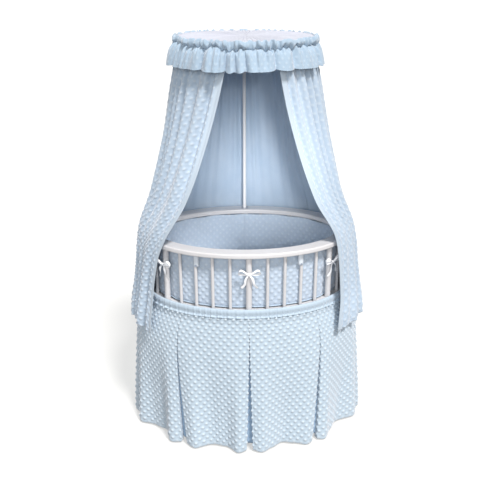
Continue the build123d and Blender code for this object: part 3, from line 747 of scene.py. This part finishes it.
def curtain(side):
    """One width of the curtains, from the hoop over the rail's outside to its hem below the band."""
    total = sum(CLOTH_W.values())
    start = {"right": 0.0, "back": CLOTH_W["right"], "left": CLOTH_W["right"] + CLOTH_W["back"]}[side]
    width = CLOTH_W[side]
    k = 3
    cols, rows = int(round(width / 0.003 / k)) * k + 1, 110 * k + 1
    u = np.linspace(0, 1, cols)
    v = np.linspace(0, 1, rows)
    s = (start + u * width) / total
    z0, z1 = 1.4835, 0.4575
    z = lerp(z0, z1, v)
    table = DRAPE.T
    a, b, cy, tr, tl = (through(z, table[0], table[j]) for j in range(1, 6))
    out = np.zeros((rows, cols, 3))
    amp = drape_amp(z)
    hem = wander(u, 5, 1.0) * 0.0035 + 0.0030 * folds(FOLD_COUNT * s)
    sag = {"right": 0.004 * bell(u, 0, 0.2), "left": 0.010 * bell(u, 1, 0.12), "back": 0 * u}[side]
    first = {"right": tr, "back": np.full(rows, 140.0), "left": np.full(rows, 220.0)}[side]
    last = {"right": np.full(rows, 140.0), "back": np.full(rows, 220.0), "left": 360 - tl}[side]
    lo = np.zeros_like(out)
    for r in range(rows):
        turn = np.radians(lerp(first[r], last[r], u))
        p, n = oval(a[r], b[r], turn, cy[r])
        f = drape_folds(s, z[r])
        rail = bell(z[r], 0.79, 0.07)
        d = amp[r] * (f + rail * 1.1)
        edge_d = {"right": u, "left": 1 - u}.get(side, np.ones(cols)) * width
        calm = step(edge_d, 0.004, 0.05)
        d = lerp(0.004, d, calm) if side != "back" else d
        out[r] = p + n * d[:, None]
        out[r, :, 2] = z[r] + step(v[r], 0.8, 1) * (hem - sag)
        base = amp[r] * rail * 1.1
        deep = lerp(-amp[r] * 0.95 + 0.36 * amp[r] * (1 + f), f * amp[r] * 0.6 - 0.4 * amp[r], rail)
        deep = deep + base
        deep = np.minimum(deep, d) - 0.0018
        if side != "back":
            deep = lerp(d - 0.0018, deep, step(edge_d, 0.01, 0.07))
        lo[r] = p + n * deep[:, None]
        lo[r, :, 2] = out[r, :, 2]
    run = rise(np.sqrt(np.diff(z) ** 2 + np.diff(a) ** 2))
    uv = grid_uv(start + u * width, run)
    centre = rows // 2, cols // 2
    nv = facing(normals(out), centre, (out - lo)[centre])
    dot_h = lerp(0.0012, 0.0030, step(-z, -1.15, -0.75))[:, None]
    body = np.ones((rows, cols))
    if side != "back":
        strip = through(z, [0.45, 0.80, 1.10, 1.49], [0.016, 0.016, 0.024, 0.027])[:, None]
        body = body * step(edge_d[None, :] - strip, 0, 0.004)
    outer = out + nv * (dots(uv[..., 0], uv[..., 1], dot_h) * body)[..., None]
    cell = np.zeros((rows - 1, cols - 1), int)
    if side != "back":
        mid = (edge_d[1:] + edge_d[:-1]) / 2
        cell[mid[None, :] < strip[1:]] = 2
    ob = shell(f"drape_{side}", outer, lo[::k, ::k], uv, [M["drape"], M["lining"], M["edge"]], k=k,
               cell_mat=cell, rim_mat=2)
    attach(ob, "canopy")
    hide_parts(f"curtain_{side}")


for side in ("right", "back", "left"):
    curtain(side)


def ruffle():
    """The gathered ruffle: a stand-up frill above the stitched line, and a flared skirt below it."""
    cols, rows, k = 1360, 57, 2
    u = np.arange(cols) / cols
    t = u * TAU
    v = np.linspace(0, 1, rows)
    big = puffs(17 * u + wander(u, 9, 1.6), 0.55) * np.clip(1 + wander(u, 12, 0.8, 4), 0.3, 1.5)
    mid = folds(43 * u + wander(u, 12, 2.6), 0.7) * np.clip(1 + wander(u, 16, 1.1, 6), 0.0, 1.7)
    fine = puffs(96 * u + wander(u, 14, 3.4), 0.8) * np.clip(1 + wander(u, 20, 1.0, 9), 0.1, 1.8)
    frill = folds(34 * u + wander(u, 12, 2.4), 1.2) * np.clip(1 + wander(u, 18, 0.9, 8), 0.3, 1.7)
    slow, hem = wander(u, 6, 1.0, 2), wander(u, 16, 1.2, 5)
    line = 0.0052 * folds(23 * u + wander(u, 12, 2.2), 0.2) + 0.0036 * folds(57 * u + wander(u, 12, 2.4))
    line = line + 0.0040 * slow
    # rows: the frill's inner edge at 0, its crest, the stitched line at 0.36, the hem at 1
    at = [0, 0.07, 0.12, 0.24, 0.33, 0.36, 0.39, 0.47, 0.66, 1.0]
    z = through(v, at, [1.5060, 1.5135, 1.5160, 1.5040, 1.4930, 1.4900, 1.4870, 1.4780, 1.4560, 1.4215])
    r0 = through(v, at, [0.2466, 0.2475, 0.2510, 0.2575, 0.2525, 0.2460, 0.2530, 0.2590, 0.2655, 0.2745])
    w_fr = through(v, at, [0.0, 0.3, 0.9, 1, 0.5, 0.1, 0, 0, 0, 0])
    w_fine = through(v, at, [0.0, 0.1, 0.3, 0.8, 1.2, 0.8, 1.2, 0.9, 0.3, 0.1])
    w_mid = through(v, at, [0, 0, 0, 0, 0, 0.1, 0.6, 1.0, 0.9, 0.35])
    w_big = through(v, at, [0, 0, 0, 0, 0, 0, 0.2, 0.6, 0.9, 1.0])
    grid = np.zeros((rows, cols, 3))
    low = np.zeros_like(grid)
    lap = folds(52 * u + 0.3 + wander(u, 12, 1.6), 0.8)
    slant = wander(u, 9, 1.0, 3)
    for r in range(rows):
        lean = 0.010 * slant * (v[r] - 0.36)
        uu = (u + lean) % 1.0

        def at_lean(w):
            return np.interp(uu, np.append(u, 1.0), np.append(w, w[0]))

        d = (r0[r] + 0.0056 * w_fr[r] * at_lean(frill) + 0.0020 * w_fine[r] * fine
             + 0.0034 * w_mid[r] * at_lean(mid) + 0.0115 * w_big[r] * at_lean(big))
        d = np.maximum(d, 0.2456)
        dz = w_fr[r] * (0.0030 * lap + 0.0020 * slow) + line * bell(v[r], 0.36, 0.12)
        dz = dz + step(v[r], 0.55, 1) * (0.0052 * hem + 0.0030 * slow - 0.0030 * big)
        n = np.stack([np.sin(t), -np.cos(t), 0 * t], -1)
        grid[r] = n * d[:, None] + [0, HOOP_Y, 0]
        grid[r, :, 2] = np.minimum(z[r] + dz, 1.5235)
        low[r] = n * (d - THIN)[:, None] + [0, HOOP_Y, 0]
        low[r, :, 2] = grid[r, :, 2]
    uu = np.append(u, 1.0) * 2.3
    uv = grid_uv(uu, v * 0.118)
    ob = shell("ruffle_cloth", grid, low[::k, ::k], uv, [M["ruffle"], M["ruffle"]], k=k, wrap=True)
    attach(ob, "canopy")
    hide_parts("ruffle")


ruffle()


def canopy_cover():
    """The round top: fine pleats running out from a small gathered centre, and a short turned-down side."""
    cols, edge = 1200, 12                      # the turned-down side starts at row 12
    rad = np.array([0.004, 0.010, 0.018, 0.03, 0.05, 0.08, 0.11, 0.14, 0.17, 0.20, 0.225, 0.2385, 0.2425,
                    0.2437, COVER_R, COVER_R, COVER_R])
    z = np.array([1.5150, 1.5146, 1.5141, 1.5137, 1.5135, 1.5134, 1.5134, 1.5134, 1.5134, 1.5134, 1.5134,
                  1.5130, 1.5118, 1.5080, 1.5020, 1.4930, 1.4855])
    u = np.arange(cols) / cols
    t = u * TAU
    pleat = folds(75 * u - 0.25, 0.1) + 0.25 * folds(150 * u + wander(u, 9, 0.6), 0.1)
    rows = len(rad)
    top = np.zeros((rows, cols, 3))
    low = np.zeros_like(top)
    for r in range(rows):
        side = r >= edge
        amp = 0.0008 if side else 0.0021 * float(step(rad[r], 0.012, 0.12))
        rr = rad[r] + (amp * pleat if side else 0)
        rl = rr - THIN if side else rr
        top_z = z[r] + (0 if side else amp * pleat) + 0 * t
        low_z = z[r] + (0 if side else amp * pleat - THIN) + 0 * t
        top[r] = np.stack([np.sin(t) * rr, HOOP_Y - np.cos(t) * rr, top_z], -1)
        low[r] = np.stack([np.sin(t) * rl, HOOP_Y - np.cos(t) * rl, low_z], -1)
    uu = np.append(u, 1.0) * 1.6
    run = rise(np.hypot(np.diff(rad), np.diff(z)))
    uv = grid_uv(uu, run)
    ob = shell("canopy_top", top, low, uv, [M["cover"], M["cover"]], wrap=True)
    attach(ob, "canopy")
    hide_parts("canopy_cover")


canopy_cover()


# ---- pads

POST_TURNS = list(turns_at(*POSTS, 0, TAU, np.arange(7) / 6)[:6])


def bumper(side):
    """One padded half of the bumper: soft between the posts, pinched at them, piped along both edges."""
    sign = 1 if side == "right" else -1
    cols = 385
    share = np.linspace(0.0001, 0.4999, cols)
    turn = turns_at(*BUMPER_CUT, 0, TAU, share)
    length = oval_length(*BUMPER_CUT, 0, TAU)
    z_lo, z_hi = 0.5745, 0.7735
    n_face, n_end = 75, 8
    zf = np.linspace(0, 1, n_face)
    # the cross-section as (height share, side: 1 outer, -1 inner), once round
    end = np.linspace(0, math.pi, n_end + 2)[1:-1]
    sec_h = join([zf, 1 + 0 * end, zf[::-1], 0 * end])
    sec_s = join([np.ones(n_face), np.cos(end), -np.ones(n_face), -np.cos(end)])
    sec_e = join([np.zeros(n_face), np.sin(end), np.zeros(n_face), -np.sin(end)])
    puff_z = (1 - (2 * np.clip(sec_h, 0, 1) - 1) ** 4) ** 0.6
    near = np.min([np.abs((turn - t + math.pi) % TAU - math.pi) for t in POST_TURNS], 0) * 0.3
    pinch = bell(near, 0, 0.014)
    ends = step(np.minimum(share - share[0], share[-1] - share) * length, 0.0, 0.012)
    bulge = 1 - 0.55 * bell(near, 0, 0.045)
    slow = 1 + 0.10 * np.sin(share * TAU * 9 + sign) + 0.07 * np.sin(share * TAU * 23)
    thick = 0.0085
    verts = np.zeros((len(sec_h), cols, 3))
    zc = lerp(z_lo, z_hi, np.clip(sec_h, 0, 1))
    wave_top = 0.0016 * np.sin(share * TAU * 14 + 1.0) * (1 - pinch)
    for j in range(len(sec_h)):
        out_d = np.where(sec_s[j] > 0, 1.0, 0.85)
        off = sec_s[j] * (0.0042 + thick * puff_z[j] * bulge * slow * 0.62) * out_d
        off = off - pinch * 0.0052 * (sec_s[j] > 0) * abs(sec_s[j])
        off = off * lerp(0.8, 1.0, ends)
        p, n = oval(*BUMPER, turn)
        verts[j] = p + n * off[:, None]
        verts[j, :, 2] = zc[j] + sec_e[j] * 0.0042 + (sec_h[j] > 0.9) * wave_top * sec_h[j]
    verts[..., 0] *= sign
    perim = rise(np.linalg.norm(np.diff(verts[:, cols // 2], axis=0), axis=1))
    uu = share * length * sign
    n_sec = len(sec_h)
    du = np.gradient(verts, axis=1)
    dv = (np.roll(verts, -1, 0) - np.roll(verts, 1, 0)) / 2
    nv = np.cross(du, dv)
    nv /= np.maximum(np.linalg.norm(nv, axis=-1, keepdims=True), 1e-9)
    mid = n_face // 2, cols // 4
    nv = facing(nv, mid, verts[mid] * [1, 1, 0])
    fade = step(np.minimum(zf, 1 - zf), 0.02, 0.06)
    fade = join([fade, 0 * end, fade[::-1], 0 * end])
    lift = dots(uu[None, :], perim[:, None], 0.0044) * fade[:, None] * ends[None, :]
    slim = np.where(sec_s > 0, 0.75, 0.6)[:, None]
    verts = verts + nv * (lift * slim)[..., None]
    idx = np.arange(n_sec * cols).reshape(n_sec, cols)
    r = np.arange(n_sec)
    r2 = (r + 1) % n_sec
    q = np.stack([idx[:, :-1], idx[:, 1:], idx[r2][:, 1:], idx[r2][:, :-1]], -1).reshape(-1, 4)
    pe = np.append(perim, perim[-1] + 0.003)
    cc = np.arange(cols - 1)
    rr = np.repeat(r, cols - 1)
    ccc = np.tile(cc, n_sec)
    uv = np.stack([np.stack([uu[ccc + dc], pe[rr + dr]], -1)
                   for dc, dr in ((0, 0), (1, 0), (1, 1), (0, 1))], 1)
    cap0, cap1 = idx[:, 0][None, ::-1], idx[:, -1][None]
    polys, uvs = [q, cap0, cap1], [uv] + [np.zeros((1, n_sec, 2))] * 2
    if sign > 0:
        polys, uvs = [p[:, ::-1] for p in polys], [w[:, ::-1] for w in uvs]
    ob = mesh_object(f"bumper_pad_{side}", verts.reshape(-1, 3), polys, [M["pad"], M["piping"]], uvs,
                     [0, 1, 1], flat=(1, 2))
    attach(ob, "frame")
    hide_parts(f"bumper_{side}")
    parts = []
    for zz in (z_lo + 0.001, z_hi - 0.0005):
        p, n = oval(*BUMPER, turn[4:-4:2])
        p = p + n * (0.0078 - 0.0052 * pinch[4:-4:2])[:, None]
        p[:, 2] = zz + (wave_top[4:-4:2] if zz > 0.7 else 0)
        p[:, 0] *= sign
        parts.append(piped(p, 0.0022))
    pipe = join_tubes(f"bumper_piping_{side}", parts, [M["piping"]])
    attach(pipe, "frame")


bumper("right")
bumper("left")


def mattress():
    """A crowned oval pad with a bulging side, piped edges and light diamond quilting."""
    cols = 260
    z_lo, z_hi = 0.5425, 0.6020
    n_top = 22
    prof = [(s, z_hi + 0.0035 - 0.004 * s**4) for s in (0.0, *np.linspace(0.05, 0.93, n_top))]
    prof += [(0.960, z_hi - 0.0022), (0.978, z_hi - 0.0052), (0.990, z_hi - 0.0105), (0.996, z_hi - 0.018),
             (0.999, z_hi - 0.028), (0.996, z_lo + 0.018), (0.990, z_lo + 0.0095), (0.978, z_lo + 0.004),
             (0.955, z_lo + 0.0010), (0.6, z_lo), (0.2, z_lo)]
    share = np.arange(cols) / cols
    t = turns_at(0.34, 0.216, 0, TAU, share)
    rows = len(prof) - 1
    verts = np.zeros((rows, cols, 3))
    for r, (s, z) in enumerate(prof[1:]):
        x, y = 0.3395 * s * np.sin(t), -0.2155 * s * np.cos(t)
        quilt = 0
        if r < n_top:
            a, b = (x + y) / 0.085, (x - y) / 0.085
            g = np.minimum(np.abs(a - np.round(a)), np.abs(b - np.round(b)))
            quilt = -0.0018 * np.exp(-((g / 0.07) ** 2)) * (s < 0.9)
        verts[r] = np.stack([x, y, z + quilt + 0 * x], -1)
    top, bottom = np.array([[0, 0, prof[0][1]]]), np.array([[0, 0, z_lo]])
    allv = join([verts.reshape(-1, 3), top, bottom])
    idx = np.arange(rows * cols).reshape(rows, cols)
    nx = np.roll(idx, -1, 1)
    q = np.stack([idx[:-1], idx[1:], nx[1:], nx[:-1]], -1).reshape(-1, 4)
    tri0 = np.stack([np.full(cols, rows * cols), idx[0], nx[0]], -1)
    tri1 = np.stack([np.full(cols, rows * cols + 1), nx[-1], idx[-1]], -1)
    polys = [q, tri0, tri1]
    uvs = [allv[:, :2][p] for p in polys]
    ob = mesh_object("mattress_pad", allv, polys, [M["ticking"]], uvs, [0, 0, 0])
    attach(ob, "mattress")
    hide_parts("mattress")
    parts = []
    for zz in (z_hi - 0.0035, z_lo + 0.0030):
        p, _ = oval(0.3350, 0.2110, t)
        p[:, 2] = zz
        parts.append(piped(p, 0.0026, closed=True))
    pipe = join_tubes("mattress_piping", parts, [M["piping"]])
    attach(pipe, "mattress")


mattress()


# ---- bows and tabs

def at_post(turn):
    """The centre of a post or slat, the way out from it, and the way along the oval."""
    c, n = oval(*POSTS, np.array([turn]))
    c, n = c[0], n[0]
    return c, n, np.array([-n[1], n[0], 0.0])


def bow(turn, seed):
    """Tubes of one ribbon bow tied round a post: two loops, two tails, the knot and the turn behind."""
    rng = np.random.default_rng(seed)
    c, n, side = at_post(turn)
    z = 0.718
    knot = c + n * 0.0165 + UP * z
    parts = []
    for sgn, lift in ((1, rng.uniform(0.22, 0.36)), (-1, rng.uniform(0.24, 0.40))):
        s = np.linspace(0, 1, 37)
        e = side * sgn * math.cos(lift) + UP * math.sin(lift)
        w = np.cross(e, n) * sgn                # up, across the loop
        long, tall = 0.040 * rng.uniform(0.94, 1.05), 0.0105 * rng.uniform(0.85, 1.1)
        x = long * np.sin(math.pi * s) ** 0.7
        wave = np.sin(TAU * s)
        path = knot + e * x[:, None] + w * (tall * wave)[:, None] + n * (0.003 - 0.0045 * wave)[:, None]
        across = n[None] * 0.75 + w[None] * (0.65 + 0.2 * wave[:, None])
        half = 0.0031 + 0.0018 * np.sin(math.pi * s) ** 0.5
        parts.append((*tube(path, across, half, 0.00035), 0))
        # tail
        s = np.linspace(0, 1, 25)
        ang = rng.uniform(0.32, 0.62)
        d = side * sgn * math.sin(ang) - UP * math.cos(ang)
        path = (knot + d * (0.060 * rng.uniform(0.88, 1.05) * s)[:, None]
                + n * (0.0015 + 0.004 * np.sin(math.pi * s * 1.2) - 0.001 * s)[:, None]
                + side * (sgn * 0.004 * np.sin(TAU * s))[:, None])
        across = np.tile(np.cross(d, n), (len(s), 1)) + n[None] * (0.35 * np.sin(TAU * s * 0.9))[:, None]
        half = 0.0028 + 0.0017 * step(s, 0, 0.35)
        parts.append((*tube(path, across, half, 0.00035), 0))
    # the knot: a short wrap standing across the ribbon
    a = np.linspace(0, TAU, 25)[:-1]
    path = knot + n * (0.0042 * np.cos(a) + 0.0006)[:, None] + UP * (0.0052 * np.sin(a))[:, None]
    parts.append((*tube(path, side, 0.0040, 0.0009, closed=True), 0))
    # the turn round the post
    a = np.linspace(0, TAU, 41)[:-1]
    ring = 0.0122
    path = c + n * (ring * np.cos(a))[:, None] + side * (ring * np.sin(a))[:, None] + UP * (z - 0.001)
    parts.append((*tube(path, UP, 0.0044, 0.0005, closed=True), 0))
    return parts


def bows():
    parts = []
    for i, t in enumerate(POST_TURNS):
        shift = [0, 0.003 if i == 3 else 0, 0]    # the back post's bow stands clear of the curtain pole
        parts += [(v + shift, *rest) for v, *rest in bow(t, 40 + i)]
    ob = join_tubes("ribbon_bows", parts, [M["ribbon"]])
    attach(ob, "frame")
    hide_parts("bows")


bows()


def tabs():
    """The four snap tabs: a strap over a slat, doubled back to the bumper, with a metal snap."""
    parts = []
    half, strap_z, snap_z = 0.0088, 0.7555, 0.7385
    for share in TAB_SHARES:
        c, n, side = at_post(float(turns_at(*POSTS, 0, TAU, np.array([share]))[0]))
        # over the front of the slat, from one side of it to the other
        s = np.linspace(-1, 1, 21)
        prof = 0.0075 - 0.0035 * np.abs(s) ** 3
        path = c + side * (half * s)[:, None] + n * prof[:, None] + UP * strap_z
        parts.append((*tube(path, UP, 0.0215, 0.0009, square=0.35), 0))
        for sgn in (-1, 1):
            s = np.linspace(0, 1, 9)
            path = c + side * (sgn * (half - 0.0006 * s))[:, None] + n * (0.0040 - 0.0085 * s)[:, None]
            parts.append((*tube(path + UP * strap_z, UP, 0.0205, 0.0007, square=0.35), 0))
        for rad, off in ((0.0042, 0.0086), (0.0026, 0.0096)):
            p = np.array([c + n * (off - 0.0012) + UP * snap_z, c + n * off + UP * snap_z])
            parts.append((*tube(p, UP, rad, rad, sides=14, square=1.0), 1))
    ob = join_tubes("snap_tabs", parts, [M["strap"], M["snap"]])
    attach(ob, "frame")
    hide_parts("bumper_tabs")


PITCH = 0.0643918 / 1.97976    # the slats' pitch over the length of the posts' oval
TAB_SHARES = [k / 6 + o for k, o in ((0, 3 * PITCH), (6, -3 * PITCH), (3, 3 * PITCH), (3, -3 * PITCH))]
tabs()


# ---- stage, light, camera

def stage():
    me = bpy.data.meshes.new("floor")
    e = 900.0
    me.from_pydata([(-e, -e, 0), (e, -e, 0), (e, e, 0), (-e, e, 0)], [], [(0, 1, 2, 3)])
    floor = place("floor", me)
    n = Nodes("floor")
    n.set(color=(0.42, 0.415, 0.405), rough=0.9, spec=0.0)
    n.bsdf.inputs["Emission Color"].default_value = (1.0, 1.0, 0.99, 1)
    n.bsdf.inputs["Emission Strength"].default_value = 0.50
    me.materials.append(n.mat)
    floor.visible_diffuse = False

    def aim(ob, direction):
        ob.rotation_mode = "QUATERNION"
        ob.rotation_quaternion = direction.to_track_quat("-Z", "Y")

    def sun(name, direction, strength, angle, colour):
        light = bpy.data.lights.new(name, "SUN")
        light.energy, light.angle, light.color = strength, math.radians(angle), colour
        aim(place(name, light), Vector(direction))

    sun("key", (-0.26, 0.45, -0.80), 3.45, 12, (1.0, 0.985, 0.97))
    sun("fill", (0.15, 1.0, -0.36), 1.0, 35, (0.98, 0.99, 1.0))
    sun("back", (0.35, -1.0, -0.40), 1.5, 40, (0.98, 0.99, 1.0))
    spot = bpy.data.lights.new("inside", "SPOT")
    spot.energy, spot.shadow_soft_size = 235, 0.20
    spot.spot_size, spot.spot_blend = math.radians(14), 1.0
    ob = place("inside", spot)
    ob.location = (0.22, -2.2, 1.72)
    aim(ob, Vector((0.0, 0.3, 0.93)) - Vector(ob.location))
    world = bpy.data.worlds.new("studio")
    world.use_nodes = True
    back = world.node_tree.nodes["Background"]
    tree = world.node_tree
    path, mix = tree.nodes.new("ShaderNodeLightPath"), tree.nodes.new("ShaderNodeMapRange")
    tree.links.new(path.outputs["Is Camera Ray"], mix.inputs[0])
    # the first lights the crib, the second is what the camera sees behind it
    mix.inputs[3].default_value, mix.inputs[4].default_value = 0.42, 1.0
    back.inputs[0].default_value = (0.97, 0.985, 1.0, 1)
    tree.links.new(mix.outputs[0], back.inputs[1])
    scene = bpy.context.scene
    scene.world = world
    scene.view_settings.view_transform = "Standard"
    cam = bpy.data.cameras.new("camera")
    cam.sensor_width, cam.lens = 36, 48.58
    ob = place("camera", cam)
    ob.location = (-0.0803, -2.4677, 1.709)
    ob.rotation_euler = (math.radians(67.9), 0, math.radians(-2.17))
    scene.camera = ob


stage()
